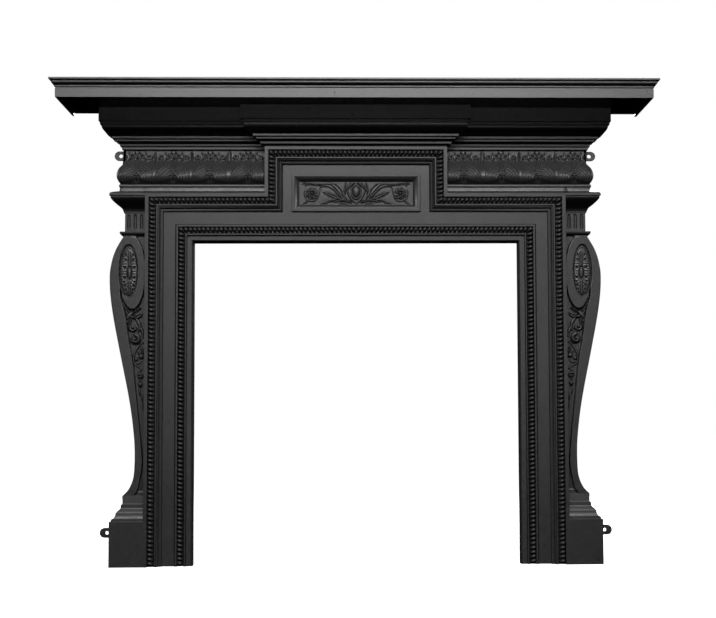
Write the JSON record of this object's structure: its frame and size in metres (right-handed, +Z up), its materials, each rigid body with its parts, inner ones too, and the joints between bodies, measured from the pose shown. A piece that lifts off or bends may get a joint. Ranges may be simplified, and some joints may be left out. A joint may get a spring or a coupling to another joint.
{
  "type": "cast-iron fireplace surround",
  "caption": "Cast-iron fireplace surround with scrolled consoles, roped mouldings, carved frieze, relief tablet and a moulded mantel shelf.",
  "frame": {"origin": "on the wall face the surround is fixed to, on its centre line, at the level of the hearth", "axes": "+X to the right as seen from the front, -Y out of the wall towards the room, +Z up"},
  "size_m": [1.644, 0.265, 1.321],
  "materials": {
    "frame_iron": "matt black",
    "shelf_iron": "matt black"
  },
  "bodies": {
    "root": {"surround_frame": "frame_iron", "mantel_shelf": "shelf_iron"}
  },
  "joints": []
}
